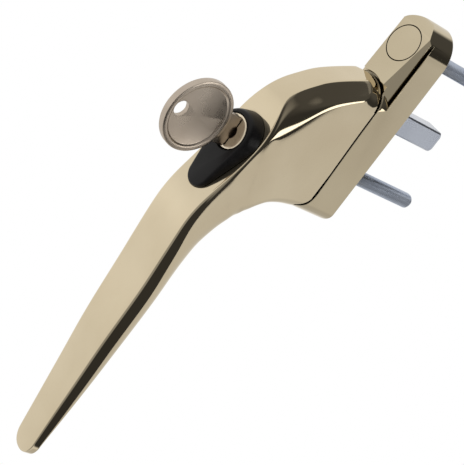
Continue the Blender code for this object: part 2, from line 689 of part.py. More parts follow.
def ramp_collar(steps=60, inner=2.9, outer=4.6, bottom=18.0):
    rings = []
    for i in range(steps):
        degrees = 360 * i / steps
        angle = math.radians(degrees)
        top = COLLAR_LOW + ramp(degrees)
        section = ((inner, bottom), (outer, bottom), (outer, top), (inner, top))
        rings.append([at(r * math.cos(angle), reach, LOCK_D - r * math.sin(angle))
                      for r, reach in section])
    return loft("ramp_collar", rings, closed=True)


def build_bolt():
    """Carrier plate with the bolt at one end and a ramped collar round the plug's tail."""
    bolt = box("lock_bolt", -4.6, 4.6, 17.5, 18.9, 11.0, 29.9, ZINC)
    cut(bolt, bore("bolt_pin", 1.8, 12.95, 18.2, BOLT_D, 24), ramp_collar(), operation="UNION")
    cut(bolt, bore("collar_bore", 3.3, 10, 30, LOCK_D, 60))


# ---------------------------------------------------------------- rear cavity cover
def build_cover():
    cover = box("cavity_cover", -COVER_HALF_W, COVER_HALF_W, 12.95, 13.55,
                COVER_TOP, COVER_LOW, STEEL)
    cut(cover,
        bore("cover_bolt_hole", BOLT_HOLE_R, 0, 20, BOLT_D, 24),
        bore("cover_screw_clearance", 1.5, 0, 20, 20.0, 20),
        bore("cover_bush_clearance", BUSH_HOLE_R, 0, 20))


# ---------------------------------------------------------------- key
KEY_STOP = 49.2         # reach where the blade widens to the stem
KEY_HALF = 0.9          # half thickness
BLADE_HALF = 3.7        # half height of the blade
STEM_HALF = 5.0         # half height of the stem
BOW_C, BOW_R = 64.0, 11.5           # reach of the bow's centre, its radius
STEM_END = BOW_C - 9.5
BOW = [  # (radius, x)
    (0, 0.75), (9.6, 0.75), (10.1, 1.2), (BOW_R - 0.3, 1.2), (BOW_R, 0.9),
    (BOW_R, -0.9), (BOW_R - 0.3, -1.2), (10.1, -1.2), (9.6, -0.75), (0, -0.75),
]


def key_outline():
    """Blade and stem as (reach, drop from the lock axis)."""
    points = [(KEY_STOP, -BLADE_HALF), (28.4, -BLADE_HALF), (26.4, -1.4), (26.4, 1.0), (28.0, 2.9)]
    crest = BLADE_HALF - 0.15
    for reach, depth in WAFERS:
        root = BLADE_HALF - depth
        points += [(reach - 0.9, crest), (reach - 0.25, root),
                   (reach + 0.25, root), (reach + 0.9, crest)]
    points += [(41.0, BLADE_HALF), (KEY_STOP, BLADE_HALF)]
    points += [(KEY_STOP, STEM_HALF), (STEM_END, STEM_HALF),
               (STEM_END, -STEM_HALF), (KEY_STOP, -STEM_HALF)]
    return points


def build_key():
    outline = [(reach, LOCK_D + z) for reach, z in key_outline()]
    key = prism("key", outline, side_point, -KEY_HALF, KEY_HALF, NICKEL)
    bow = revolve("key_bow", BOW, at(0, BOW_C, LOCK_D), (0, math.radians(90), 0), 48)
    cut(key, bow, operation="UNION")
    cut(key, cross_rod("key_ring_hole", 2.4, 5, BOW_C + 7.0, LOCK_D, 28))
    for word, sign in reversed(SIDES):
        cut(key, box("blade_groove_" + word, sign * 0.5, sign * 2, 20, 47.5,
                     LOCK_D - 1.6, LOCK_D - 0.4))


# ---------------------------------------------------------------- build
boss_front = boss_front_cutter()
base = build_base(boss_front)
lever = build_lever()
build_surround()
build_spindle()
build_bush()
build_rings()
build_detents()
build_screws()
build_cap(boss_front)
build_lock()
build_bolt()
build_cover()
build_key()

for ob in parts.objects:
    sharp_angle = 25 if ob in (base, lever) else 30
    ob.data.shade_smooth()
    ob.data.set_sharp_from_angle(angle=math.radians(sharp_angle))
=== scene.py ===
"""Lever handle on a base plate, with a lock in the lever and a key in the lock.

Sizes are in mm and are turned into metres by at(). Points are given as x (to the right, seen
from the room), reach (from the mounting face towards the room, -Y) and drop (down, -Z). The
spindle axis is x = 0, drop = 0. The origin is the end of the spindle, SPINDLE_BACK behind the
mounting face.
"""
import bpy
import bmesh
import math
from mathutils import Matrix, Vector

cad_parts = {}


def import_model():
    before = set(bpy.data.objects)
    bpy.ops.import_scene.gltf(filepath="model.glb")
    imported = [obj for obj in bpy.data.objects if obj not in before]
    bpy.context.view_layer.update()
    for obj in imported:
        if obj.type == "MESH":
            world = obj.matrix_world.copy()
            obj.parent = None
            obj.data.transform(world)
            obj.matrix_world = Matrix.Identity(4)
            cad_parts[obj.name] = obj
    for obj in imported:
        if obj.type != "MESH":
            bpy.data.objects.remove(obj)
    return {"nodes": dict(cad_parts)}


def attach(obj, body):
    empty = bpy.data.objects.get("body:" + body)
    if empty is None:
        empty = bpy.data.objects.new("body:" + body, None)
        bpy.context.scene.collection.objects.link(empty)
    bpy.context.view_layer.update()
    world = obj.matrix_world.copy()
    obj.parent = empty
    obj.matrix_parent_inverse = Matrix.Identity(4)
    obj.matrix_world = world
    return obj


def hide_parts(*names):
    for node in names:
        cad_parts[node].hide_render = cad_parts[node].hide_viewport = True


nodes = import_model()["nodes"]
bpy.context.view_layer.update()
scene = bpy.context.scene

MM = 0.001
SPINDLE_BACK = 25.5   # spindle length behind the mounting face
SPINDLE_FRONT = 24.6  # reach of its other end
HALF_W = 8.5          # half the width of the base
DECK = 12.3           # reach of the round floor under the lever head
RIM = 12.68           # reach of the rim around that floor
SCREW_DROP = 21.5     # each fixing screw above or below the spindle
LOCK_DROP = 25.1      # lock axis below the spindle
LOCK_FACE = 48.8      # reach of the plug's face
WAFER_REACHES = (29.4, 31.7, 34.0, 36.3, 38.6)


def at(x, reach, drop):
    return Vector((x * MM, -(reach + SPINDLE_BACK) * MM, -drop * MM))


# ------------------------------------------------------------------ shader helpers
def wire(tree, node, inputs):
    """Link each socket given, and set each plain value."""
    for key, value in inputs.items():
        if isinstance(value, bpy.types.NodeSocket):
            tree.links.new(value, node.inputs[key])
        else:
            node.inputs[key].default_value = value


def add(tree, kind, inputs=None, **settings):
    """New node. Settings come first, because they decide which sockets are in use."""
    node = tree.nodes.new("ShaderNode" + kind)
    for key, value in settings.items():
        setattr(node, key, value)
    wire(tree, node, inputs or {})
    return node


def base_material(name):
    material = bpy.data.materials.new(name)
    material.use_nodes = True
    tree = material.node_tree
    place = add(tree, "TexCoord").outputs["Object"]
    return material, tree, tree.nodes["Principled BSDF"], place


def noise(tree, place, scale, detail, rough=0.5, stretch=None):
    if stretch:
        place = add(tree, "Mapping", {"Scale": stretch, "Vector": place}).outputs["Vector"]
    return add(tree, "TexNoise", {"Scale": scale, "Detail": detail, "Roughness": rough,
                                  "Vector": place}).outputs["Fac"]


def span(tree, cloud, low, high):
    """Spread the middle of a noise over low to high."""
    return add(tree, "MapRange", {"From Min": 0.3, "From Max": 0.7, "To Min": low,
                                  "To Max": high, "Value": cloud}).outputs["Result"]


def clouded(tree, cloud, dark, light):
    return add(tree, "Mix", {"Factor": span(tree, cloud, 0, 1), "A": (*dark, 1),
                             "B": (*light, 1)}, data_type="RGBA").outputs["Result"]


def bump(tree, height, strength, distance, normal=None):
    inputs = {"Strength": strength, "Distance": distance, "Height": height}
    if normal is not None:
        inputs["Normal"] = normal
    return add(tree, "Bump", inputs).outputs["Normal"]


def edge_round(tree, radius):
    return add(tree, "Bevel", {"Radius": radius}, samples=8).outputs["Normal"]


def crevice(tree, tint, distance):
    """Painted shade: darken the colour in narrow gaps and inside corners, where little light
    gets in.
    """
    open_sky = add(tree, "AmbientOcclusion", {"Distance": distance}, samples=12).outputs["AO"]
    grey = add(tree, "MapRange", {"From Min": 0.25, "From Max": 0.72, "To Min": 0.03,
                                  "Value": open_sky}).outputs["Result"]
    return add(tree, "Mix", {"Factor": 1.0, "A": tint, "B": grey},
               data_type="RGBA", blend_type="MULTIPLY").outputs["Result"]


def metal(name, dark, light, rough, edge, swell, grain, brushed=None, shade=0.0016):
    """Plated or machined metal.

    dark, light: ends of the colour cloud; rough: range of roughness; edge: edge rounding (m);
    swell, grain: strength of the long waves and of the fine texture; brushed: texture scale
    per axis, which stretches the grain; shade: distance of the painted crevice shade (m).
    """
    material, tree, shader, place = base_material(name)
    tint = clouded(tree, noise(tree, place, scale=45.0, detail=3.0), dark, light)
    # Colour cloud, darkened by painted crevice shade in gaps and inside corners unless shade is
    # 0
    wire(tree, shader, {
        "Base Color": crevice(tree, tint, shade) if shade else tint,
        "Roughness": span(tree, noise(tree, place, scale=160.0, detail=4.0), *rough),
        "Metallic": 1.0})
    normal = edge_round(tree, edge) if edge else None
    if swell:
        waves = noise(tree, place, scale=38.0, detail=1.0)
        normal = bump(tree, waves, swell, distance=0.001, normal=normal)
    if brushed:
        lines = noise(tree, place, scale=900.0, detail=3.0, rough=0.6, stretch=brushed)
        normal = bump(tree, lines, grain, distance=0.0002, normal=normal)
    else:
        specks = noise(tree, place, scale=2600.0, detail=2.0)
        normal = bump(tree, specks, grain, distance=0.0001, normal=normal)
    wire(tree, shader, {"Normal": normal})
    return material


def plastic(name, dark, light, rough, edge):
    material, tree, shader, place = base_material(name)
    wire(tree, shader, {
        "Base Color": clouded(tree, noise(tree, place, scale=300.0, detail=3.0), dark, light),
        "Roughness": span(tree, noise(tree, place, scale=600.0, detail=4.0), *rough),
        "Specular IOR Level": 0.22,
        "Normal": bump(tree, noise(tree, place, scale=3500.0, detail=2.0), strength=0.06,
                       distance=0.0001, normal=edge_round(tree, edge))})
    return material


# ------------------------------------------------------------------ materials
GOLD = metal("polished_pale_gold", dark=(0.632, 0.54, 0.384), light=(0.692, 0.6, 0.438),
             rough=(0.035, 0.075), edge=0.0002, swell=0.035, grain=0.02)
# Darker copy of the lever's gold for the base plate and cap: painted shade
SHADED_GOLD = metal("polished_pale_gold_painted_shade", dark=(0.535, 0.458, 0.323),
                  light=(0.59, 0.513, 0.37), rough=(0.035, 0.075), edge=0.0002, swell=0.03,
                  grain=0.02)
# Pale plated face, its colour raised further: painted light in place of the reflection the key's
# bow blocks
FACE = metal("satin_plated_face_painted_light", dark=(0.84, 0.74, 0.58), light=(0.92, 0.82, 0.66),
             rough=(0.3, 0.42), edge=0.00015, swell=0.0, grain=0.06, brushed=(1, 1, 1), shade=0)
BLACK = plastic("black_moulding", dark=(0.0035, 0.0033, 0.0038), light=(0.0065, 0.006, 0.007),
                rough=(0.3, 0.42), edge=0.0003)
ZINC = metal("bright_zinc_plate", dark=(0.46, 0.50, 0.60), light=(0.55, 0.59, 0.68),
             rough=(0.2, 0.3), edge=0.00018, swell=0.02, grain=0.04, brushed=(1, 0.08, 1),
             shade=0.0007)
THREAD = metal("zinc_plated_screw", dark=(0.40, 0.45, 0.55), light=(0.50, 0.55, 0.65),
               rough=(0.26, 0.36), edge=0, swell=0.0, grain=0.02, shade=0)
STEEL = metal("spring_steel", dark=(0.34, 0.35, 0.37), light=(0.48, 0.49, 0.50),
              rough=(0.2, 0.34), edge=0.00008, swell=0.0, grain=0.1)
BRASS = metal("turned_brass", dark=(0.55, 0.39, 0.15), light=(0.72, 0.53, 0.24),
              rough=(0.16, 0.3), edge=0.0001, swell=0.0, grain=0.14, brushed=(1, 0.1, 1))
NICKEL = metal("nickel_silver", dark=(0.46, 0.39, 0.32), light=(0.56, 0.49, 0.42),
               rough=(0.24, 0.36), edge=0.00012, swell=0.02, grain=0.05, brushed=(1, 0.15, 1),
               shade=0.0009)

CAD_FINISHES = (
    (STEEL, ("rear_cover_ring", "detent_ball_upper", "detent_ball_lower",
             "detent_spring_upper", "detent_spring_lower", "drive_bush", "spindle_pin",
             "retaining_circlip", "thrust_washer", "cavity_cover", "cam_pin")),
    (BRASS, ("lock_barrel", "wafer_1", "wafer_2", "wafer_3", "wafer_4", "wafer_5")),
    (ZINC, ("lock_bolt", "spindle", "fixing_screw_upper", "fixing_screw_lower")),
    (GOLD, ("base_plate", "lever", "screw_cap")),
    (BLACK, ("lock_surround",)),
    (FACE, ("lock_plug",)),
    (NICKEL, ("key",)),
)
for finish, pieces in CAD_FINISHES:
    for piece in pieces:
        if piece in nodes:
            nodes[piece].data.materials.clear()
            nodes[piece].data.materials.append(finish)


# ------------------------------------------------------------------ mesh helpers
def to_object(bm, name, material, recalc=True):
    mesh = bpy.data.meshes.new(name)
    ob = bpy.data.objects.new(name, mesh)
    scene.collection.objects.link(ob)
    if material:
        mesh.materials.append(material)
    if recalc:
        bmesh.ops.recalc_face_normals(bm, faces=bm.faces)
    bm.to_mesh(mesh)
    bm.free()
    return ob


def box(x, reach, drop):
    """Box between the two limits given along each direction."""
    bm = bmesh.new()
    corners = [bm.verts.new(at(a, r, d)) for a in x for r in reach for d in drop]
    for face in ((0, 1, 3, 2), (4, 6, 7, 5), (0, 4, 5, 1), (2, 3, 7, 6), (0, 2, 6, 4),
                 (1, 5, 7, 3)):
        bm.faces.new([corners[i] for i in face])
    return to_object(bm, "cutter", None)


def loft(rings, name="cutter", material=None):
    """Skin over closed rings of points, capped at both ends."""
    bm = bmesh.new()
    rows = [[bm.verts.new(point) for point in ring] for ring in rings]
    count = len(rows[0])
    for first, second in zip(rows, rows[1:]):
        for i in range(count):
            j = (i + 1) % count
            bm.faces.new((first[i], first[j], second[j], second[i]))
    bm.faces.new(rows[0])
    bm.faces.new(rows[-1])
    return to_object(bm, name, material)


def revolve(profile, place, segments, name="cutter", material=None, ring=False):
    """Turn (radius, height) points; place(radius, height, angle) puts each one in space.

    A radius of 0 closes the end in a point. With ring, the last point joins the first.
    """
    bm = bmesh.new()
    rows = []
    for radius, height in profile:
        count = 1 if radius < 1e-6 else segments
        rows.append([bm.verts.new(place(radius, height, 2 * math.pi * i / segments))
                     for i in range(count)])
    pairs = list(zip(rows, rows[1:])) + ([(rows[-1], rows[0])] if ring else [])
    for first, second in pairs:
        for i in range(segments):
            j = (i + 1) % segments
            if len(first) == 1:
                bm.faces.new((first[0], second[i], second[j]))
            elif len(second) == 1:
                bm.faces.new((first[i], first[j], second[0]))
            else:
                bm.faces.new((first[i], first[j], second[j], second[i]))
    return to_object(bm, name, material)


def lathe(profile, drop=0.0, segments=96, **options):
    """Turn (radius, reach) points about the reach axis at this drop."""
    def place(radius, reach, angle):
        return at(radius * math.cos(angle), reach, drop - radius * math.sin(angle))
    return revolve(profile, place, segments, **options)


def bar(radius, start, end, segments=64, name="cutter", material=None):
    bm = bmesh.new()
    axis = end - start
    bmesh.ops.create_cone(bm, cap_ends=True, segments=segments, radius1=radius * MM,
                          radius2=radius * MM, depth=axis.length)
    turn = axis.to_track_quat("Z", "X").to_matrix().to_4x4()
    bmesh.ops.transform(bm, matrix=Matrix.Translation((start + end) / 2) @ turn, verts=bm.verts)
    return to_object(bm, name, material)


def bore(radius, reach, drop=0.0, segments=64, **options):
    """Cylinder along the reach axis, between two reaches."""
    return bar(radius, at(0, reach[0], drop), at(0, reach[1], drop), segments, **options)


def prism(outline, place, start, end, name="cutter", material=None):
    """Extrude an outline; place is plan, side or section."""
    return loft([[place(a, b, h) for a, b in outline] for h in (start, end)], name, material)


def plan(x, drop, reach):
    return at(x, reach, drop)


def side(reach, drop, x):
    return at(x, reach, drop)


def section(x, reach, drop):
    return at(x, reach, drop)


cutters = []   # shapes in use by modifiers, removed once the piece is complete


def cut(ob, cutter, operation="DIFFERENCE"):
    modifier = ob.modifiers.new("cut", "BOOLEAN")
    modifier.operation = operation
    modifier.solver = "EXACT"
    modifier.object = cutter
    cutters.append(cutter)


def complete(ob, sharp, body, stands_for):
    """Apply the cuts, shade smooth up to the sharp angle and hand the piece to its body."""
    depsgraph = bpy.context.evaluated_depsgraph_get()
    mesh = bpy.data.meshes.new_from_object(ob.evaluated_get(depsgraph))
    materials = list(ob.data.materials)
    ob.modifiers.clear()
    ob.data = mesh
    mesh.materials.clear()
    for material in materials:
        mesh.materials.append(material)
    for cutter in cutters:
        bpy.data.objects.remove(cutter, do_unlink=True)
    cutters.clear()
    bm = bmesh.new()
    bm.from_mesh(mesh)
    bmesh.ops.remove_doubles(bm, verts=bm.verts, dist=1e-7)
    bmesh.ops.dissolve_degenerate(bm, dist=1e-7, edges=bm.edges)
    bm.to_mesh(mesh)
    bm.free()
    for polygon in mesh.polygons:
        polygon.material_index = 0
    mesh.shade_smooth()
    mesh.set_sharp_from_angle(angle=math.radians(sharp))
    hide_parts(stands_for)
    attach(ob, body)


# ------------------------------------------------------------------ lever
# Outer line: the lever's upper edge at the head, its room side along the grip. Inner line: its
# lower edge, then its door side. Each section spans the two, with its flat on the outer line.
# outer reach, outer drop, inner reach, inner drop, half width of the flat, bevel depth,
# half width of the sides, depth of the rounded back, power of that rounding
STATIONS = [
    (12.6, -8.7, 12.6, 36.9, 4.0, 4.3, 8.5, 4.5, 2.2),
    (15.6, -8.6, 15.8, 37.4, 4.0, 4.3, 8.5, 4.5, 2.2),
    (22.5, -6.3, 20.5, 38.2, 4.0, 4.7, 8.5, 4.6, 2.2),
    (28.4, -3.7, 24.0, 39.3, 4.0, 5.4, 8.5, 4.8, 2.2),
    (33.0, -1.2, 26.3, 40.5, 4.0, 6.2, 8.5, 5.0, 2.2),
    (37.0, 1.8, 28.0, 42.0, 4.0, 7.0, 8.5, 5.2, 2.2),
    (40.6, 5.0, 29.2, 43.4, 4.1, 7.6, 8.5, 5.5, 2.2),
    (42.7, 8.2, 30.1, 44.7, 4.5, 7.2, 8.5, 6.0, 2.2),
    (43.3, 12.0, 31.0, 46.0, 5.8, 5.8, 8.5, 6.5, 2.1),
    (43.4, 18.0, 31.8, 47.4, 7.6, 3.0, 8.5, 7.2, 2.1),
    (44.0, 25.0, 32.6, 49.0, 8.2, 1.2, 8.5, 8.0, 2.0),
    (45.2, 31.0, 33.4, 50.9, 8.3, 1.1, 8.6, 8.4, 2.0),
    (46.6, 36.5, 34.2, 53.0, 8.1, 1.3, 8.6, 8.8, 2.0),
    (48.1, 41.5, 34.9, 55.3, 7.9, 1.7, 8.6, 9.0, 2.0),
    (49.4, 46.5, 35.5, 57.8, 7.8, 2.3, 8.6, 9.2, 2.0),
    (50.0, 52.0, 35.9, 60.4, 7.8, 2.9, 8.6, 9.4, 2.0),
    (49.7, 58.0, 36.2, 63.8, 7.9, 3.4, 8.65, 9.0, 2.0),
    (48.9, 66.0, 36.3, 69.4, 7.9, 3.9, 8.6, 8.4, 2.0),
    (47.9, 75.0, 36.2, 76.6, 7.8, 4.2, 8.5, 7.2, 2.0),
    (46.9, 88.0, 35.9, 88.0, 7.4, 4.2, 8.1, 6.6, 2.0),
    (45.9, 100.0, 35.8, 100.0, 6.8, 4.0, 7.5, 6.0, 2.0),
    (44.7, 110.0, 35.9, 110.0, 6.25, 3.8, 6.9, 4.9, 2.0),
    (43.5, 120.0, 36.2, 120.0, 5.7, 3.4, 6.3, 3.8, 2.0),
    (42.3, 130.0, 36.9, 130.0, 5.15, 2.9, 5.7, 2.4, 2.0),
    (41.3, 138.0, 37.7, 138.0, 4.75, 2.3, 5.2, 1.2, 2.0),
]
TIP_DROP = 143.7
LEVER_STEPS = 150

# (radius, reach) about the spindle axis: hollow behind the head, and the head's round neck
HOLLOW = [(50, 16.5), (50, 11.0), (7.7, 11.0), (7.7, 13.42), (8.5, 13.4), (30.2, 12.27),
          (31.1, 12.35), (31.9, 12.5), (32.6, 12.7), (33.1, 12.95), (33.7, 13.35),
          (34.2, 13.85), (34.7, 14.45), (35.1, 15.1), (35.5, 15.8), (35.8, 16.5)]
NECK = [(30, 24.5), (30, 11.0), (8.25, 11.0), (8.25, 13.38), (8.32, 13.48), (8.43, 13.58),
        (8.53, 13.75), (8.53, 15.5), (8.54, 16.5), (8.58, 17.5), (8.66, 18.4), (8.8, 19.3),
        (9.1, 20.2), (9.7, 21.2), (10.8, 22.3), (12.5, 23.4), (15, 24.5)]


def spline(xs, ys):
    """Natural cubic spline through the points; returns a function."""
    count = len(xs)
    gap = [xs[i + 1] - xs[i] for i in range(count - 1)]
    pivot, ratio, carry = [1.0] * count, [0.0] * count, [0.0] * count
    for i in range(1, count - 1):
        bend = 3 * ((ys[i + 1] - ys[i]) / gap[i] - (ys[i] - ys[i - 1]) / gap[i - 1])
        pivot[i] = 2 * (xs[i + 1] - xs[i - 1]) - gap[i - 1] * ratio[i - 1]
        ratio[i] = gap[i] / pivot[i]
        carry[i] = (bend - gap[i - 1] * carry[i - 1]) / pivot[i]
    linear, square, cube = [0.0] * count, [0.0] * count, [0.0] * count
    for j in range(count - 2, -1, -1):
        square[j] = carry[j] - ratio[j] * square[j + 1]
        linear[j] = (ys[j + 1] - ys[j]) / gap[j] - gap[j] * (square[j + 1] + 2 * square[j]) / 3
        cube[j] = (square[j + 1] - square[j]) / (3 * gap[j])

    def value(x):
        j = 0
        while j < count - 2 and x > xs[j + 1]:
            j += 1
        t = x - xs[j]
        return ys[j] + linear[j] * t + square[j] * t * t + cube[j] * t ** 3
    return value


# Mean length of the outer and inner lines up to each station
arc = [0.0]
for p, q in zip(STATIONS, STATIONS[1:]):
    arc.append(arc[-1] + 0.5 * (math.hypot(q[0] - p[0], q[1] - p[1])
                                + math.hypot(q[2] - p[2], q[3] - p[3])))
CURVES = [spline(arc, column) for column in zip(*STATIONS)]


def curve(p0, p1, p2):
    """Six points of a quadratic curve, without its start."""
    return [((1 - t) ** 2 * p0[0] + 2 * t * (1 - t) * p1[0] + t * t * p2[0],
             (1 - t) ** 2 * p0[1] + 2 * t * (1 - t) * p1[1] + t * t * p2[1])
            for t in (i / 6 for i in range(1, 7))]


def line(a, b):
    """Six points of a straight line, without its start."""
    return [(a[0] + (b[0] - a[0]) * i / 6, a[1] + (b[1] - a[1]) * i / 6) for i in range(1, 7)]


def lever_half(flat, bevel, wide, length, back, power, soft, crown):
    """Right half of a section as (x, depth): flat, bevel, side and rounded back.

    crown and soft limit the corner rounding at the bevel's two ends.
    """
    back = min(back, length - bevel - 0.25)
    slant = math.hypot(wide - flat, bevel)
    slant_x, slant_t = (wide - flat) / slant, bevel / slant
    inner = min(crown, 0.3 * slant, 0.3 * flat)
    limit = min(0.66 * slant, 0.45 * (length - back - bevel) + 0.02)
    outer = soft * limit / (soft ** 4 + limit ** 4) ** 0.25
    flat_end = (flat - inner, 0)
    bevel_start = (flat + slant_x * inner, slant_t * inner)
    bevel_end = (wide - slant_x * outer, bevel - slant_t * outer)
    side_start = (wide, bevel + outer)
    points = [(0.0, 0.0)] + line((0, 0), flat_end)
    points += curve(flat_end, (flat, 0), bevel_start)
    points += line(bevel_start, bevel_end)
    points += curve(bevel_end, (wide, bevel), side_start)
    points += line(side_start, (wide, length - back))
    for i in range(1, 19):
        angle = 0.5 * math.pi * i / 18
        points.append((wide * abs(math.cos(angle)) ** (2 / power) if i < 18 else 0.0,
                       length - back + back * math.sin(angle) ** (2 / power)))
    return points


def lever_ring(station, squeeze=1.0):
    reach, drop, in_reach, in_drop, flat, bevel, wide, back, power = station
    length = math.hypot(in_reach - reach, in_drop - drop)
    # The outer corner is softest near drop 6; the inner one grows from drop 32 to 54
    soft = 0.55 + 4.4 * math.exp(-((drop - 6.0) / 7.0) ** 2)
    crown = 0.42 + 0.75 * min(1.0, max(0.0, (drop - 32.0) / 22.0))
    half = lever_half(min(flat, wide - 0.15), max(bevel, 0.3), wide, length, back, power,
                      soft, crown)
    points = half + [(-x, t) for x, t in reversed(half[1:-1])]
    return [at(x * squeeze, reach + (in_reach - reach) * t / length,
               drop + (in_drop - drop) * t / length) for x, t in points]


def lever_tip():
    """Rings that close the grip in a rounded end."""
    reach, drop, in_reach, *_ = STATIONS[-1]
    rings = []
    for i in range(1, 15):
        angle = 0.5 * math.pi * i / 14.3
        rise = math.sin(angle)
        station = list(STATIONS[-1])
        station[1] = station[3] = drop + (TIP_DROP - drop) * rise
        station[0] = reach - 0.75 * rise - 0.5 * rise ** 6
        station[2] = in_reach + 0.25 * rise + 0.5 * rise ** 6
        rings.append(lever_ring(station, math.cos(angle) ** 0.92))
    return rings


def build_lever():
    rings = [lever_ring([value(arc[-1] * i / LEVER_STEPS) for value in CURVES])
             for i in range(LEVER_STEPS + 1)]
    lever = loft(rings + lever_tip(), "lever_casting", GOLD)
    cut(lever, lathe(HOLLOW, segments=192, ring=True))
    neck = lathe(NECK, segments=192, ring=True)
    cut(neck, box(x=(-60, 60), reach=(5, 70), drop=(-0.7, 60)))   # round the upper half only
    cut(lever, neck)
    # Round, then square, hole on the spindle axis
    cut(lever, bore(6.0, reach=(10, 19)))
    cut(lever, box(x=(-3.8, 3.8), reach=(15, 24.9), drop=(-3.8, 3.8)))
    # Pocket behind the lock, with a wider mouth
    cut(lever, box(x=(-5.4, 5.4), reach=(10, 23.3), drop=(9.4, 30.3)))
    cut(lever, box(x=(-6.4, 6.4), reach=(10, 13.8), drop=(8.0, 30.4)))
    # Stepped bore on the lock axis
    cut(lever, bore(6.9, reach=(20, 40.2), drop=LOCK_DROP))
    cut(lever, bore(7.5, reach=(40.2, 60), drop=LOCK_DROP))
    complete(lever, 34, "lever_body", "lever")


# ------------------------------------------------------------------ base
# (radius, reach) about the spindle axis
FOOT = [(0, 60), (36.3, 60), (36.3, 16.2), (36.1, 15.4), (35.7, 14.6), (35.3, 13.9),
        (34.8, 13.3), (34.2, 12.75), (33.6, 12.3), (33.0, 12.03), (32.3, 11.8), (31.4, 11.65),
        (30.5, 11.55), (8.5, RIM), (0, RIM + 0.02)]
SEAT = [(0, 30), (10.35, 30), (10.35, 16.4), (9.8, 15.0), (9.5, 14.3), (9.35, 13.9),
        (9.25, 12.9), (9.25, RIM + 0.05), (0, RIM + 0.05)]
BEVEL_STOP = [(0, 0), (8.95, 0), (8.95, 11.7), (8.9, 12.0), (8.8, 12.3), (8.62, 12.6),
              (8.62, 14), (0, 14)]
# (x, reach) of the cut that bevels each side of the upper part
SIDE_BEVEL = [(7.3, 8.7), (7.35, 10.45), (5.0, 14.4), (2.5, 18.6), (20, 18.6), (20, 9.72),
              (8.32, 9.72), (8.14, 9.66), (8.0, 9.5)]
NOSE_REACH, NOSE_DROP, NOSE_LENGTH = 6.2, -27.0, 4.32   # start and length of the curved top


def end_curve(edge, depth, power, steps, way):
    """(x, drop) of a rounded end; way is 1 for the lower end and -1 for the upper."""
    points = []
    for i in range(2 * steps + 1):
        angle = math.pi * i / (2 * steps)
        across, along = math.cos(angle), math.sin(angle)
        points.append((way * HALF_W * math.copysign(abs(across) ** (2 / power), across),
                       edge - way * depth + way * depth * along ** (2 / power)))
    return points


def front_slope(drop):
    """Reach of the sloping front of the upper part."""
    return 14.4 + 0.149 * (drop + 7.5)


def build_base():
    outline = (end_curve(edge=37.2, depth=4.5, power=2.2, steps=28, way=1)
               + end_curve(edge=-31.1, depth=10.4, power=2.05, steps=36, way=-1))
    base = prism(outline, plan, 0.0, 16.0, "base_casting", SHADED_GOLD)
    # Turned front of the lower part
    foot = lathe(FOOT, segments=256)
    cut(foot, box(x=(-60, 60), reach=(5, 70), drop=(-60, -8.8)))
    cut(foot, box(x=(-60, 60), reach=(5, 13.0), drop=(-60, -1.2)))
    cut(base, foot)
    # Round seat, cut into the upper part only, and the floor inside it
    seat = lathe(SEAT, segments=192)
    cut(seat, box(x=(-60, 60), reach=(5, 70), drop=(-1.0, 60)))
    cut(base, seat)
    cut(base, bore(7.96, reach=(DECK, 30), segments=122))
    # Curved top end and sloping front
    nose = []
    for i in range(23):
        angle = 0.5 * math.pi * i / 22
        nose.append((NOSE_REACH + (front_slope(NOSE_DROP) - NOSE_REACH) * math.sin(angle),
                     NOSE_DROP - NOSE_LENGTH * math.cos(angle)))
    nose += [(front_slope(-8), -8), (30, -8), (30, -40), (NOSE_REACH, -40)]
    cut(base, prism(nose, side, -12.4, 12.4))
    for way in (1, -1):
        bevel = prism([(way * x, reach) for x, reach in SIDE_BEVEL], section, -40.0, -0.6)
        cut(bevel, lathe(BEVEL_STOP, segments=192))   # keep the seat's wall
        cut(base, bevel)
    # Spindle bore, wider at the back, then a vertical and a horizontal hole
    cut(base, bore(6.0, reach=(-1, 30), segments=96))
    cut(base, bore(7.3, reach=(-1, 3.75), segments=96))
    cut(base, bar(2.1, at(0, 6.1, -14.6), at(0, 6.1, 14.6), 48))
    cut(base, bore(2.2, reach=(8.9, 20), drop=13.5, segments=48))
    # Countersunk screw holes, and shallow pockets in the mounting face
    for way, radius, pocket in ((-1, 5.95, (-16.6, -9.4)), (1, 5.5, (9.4, 16.6))):
        hole = [(0, 30), (radius, 30), (radius, 5.4), (5.3, 5.4), (2.8, 2.9), (2.8, -1), (0, -1)]
        cut(base, lathe(hole, way * SCREW_DROP))
        cut(base, box(x=(-5.2, 5.2), reach=(-1, 2.4), drop=pocket))
    complete(base, 30, "base_body", "base_plate")


def build_cap():
    """Push-in cap over the upper screw, shaped to the base's bevels and slope."""
    cap = bore(5.6, reach=(6.2, 20), drop=-SCREW_DROP, segments=128, name="push_in_cap",
               material=SHADED_GOLD)
    bevels = [(7.5, -2), (7.5, 10.2), (5.0, 14.4), (-5.0, 14.4), (-7.5, 10.2), (-7.5, -2)]
    cut(cap, prism(bevels, section, -45.0, 4.0), "INTERSECT")
    slope = [(front_slope(-40), -40), (30, -40), (30, -8), (front_slope(-8), -8)]
    cut(cap, prism(slope, side, -12, 12))
    # Hollow back and a slot across its wall
    cut(cap, bore(4.7, reach=(0, 8.6), drop=-SCREW_DROP, segments=96))
    cut(cap, box(x=(-7, 7), reach=(0, 7.9), drop=(-SCREW_DROP - 0.7, -SCREW_DROP + 0.7)))
    complete(cap, 30, "cap_body", "screw_cap")


# ------------------------------------------------------------------ lock surround
TEARDROP_LOW = 40.2   # drop of the small end's centre
# reach, radius around the lock, radius of the small end, reach gained per mm of drop
SURROUND_LEVELS = [
    (40.0, 8.05, 5.0, 0.0), (43.5, 7.85, 4.9, 0.0), (45.5, 7.6, 4.75, 0.015),
    (47.3, 7.3, 4.6, 0.03), (48.0, 7.15, 4.47, 0.04), (48.45, 6.98, 4.32, 0.045),
    (48.75, 6.76, 4.12, 0.045), (48.93, 6.5, 3.9, 0.045), (49.0, 6.25, 3.65, 0.045)]


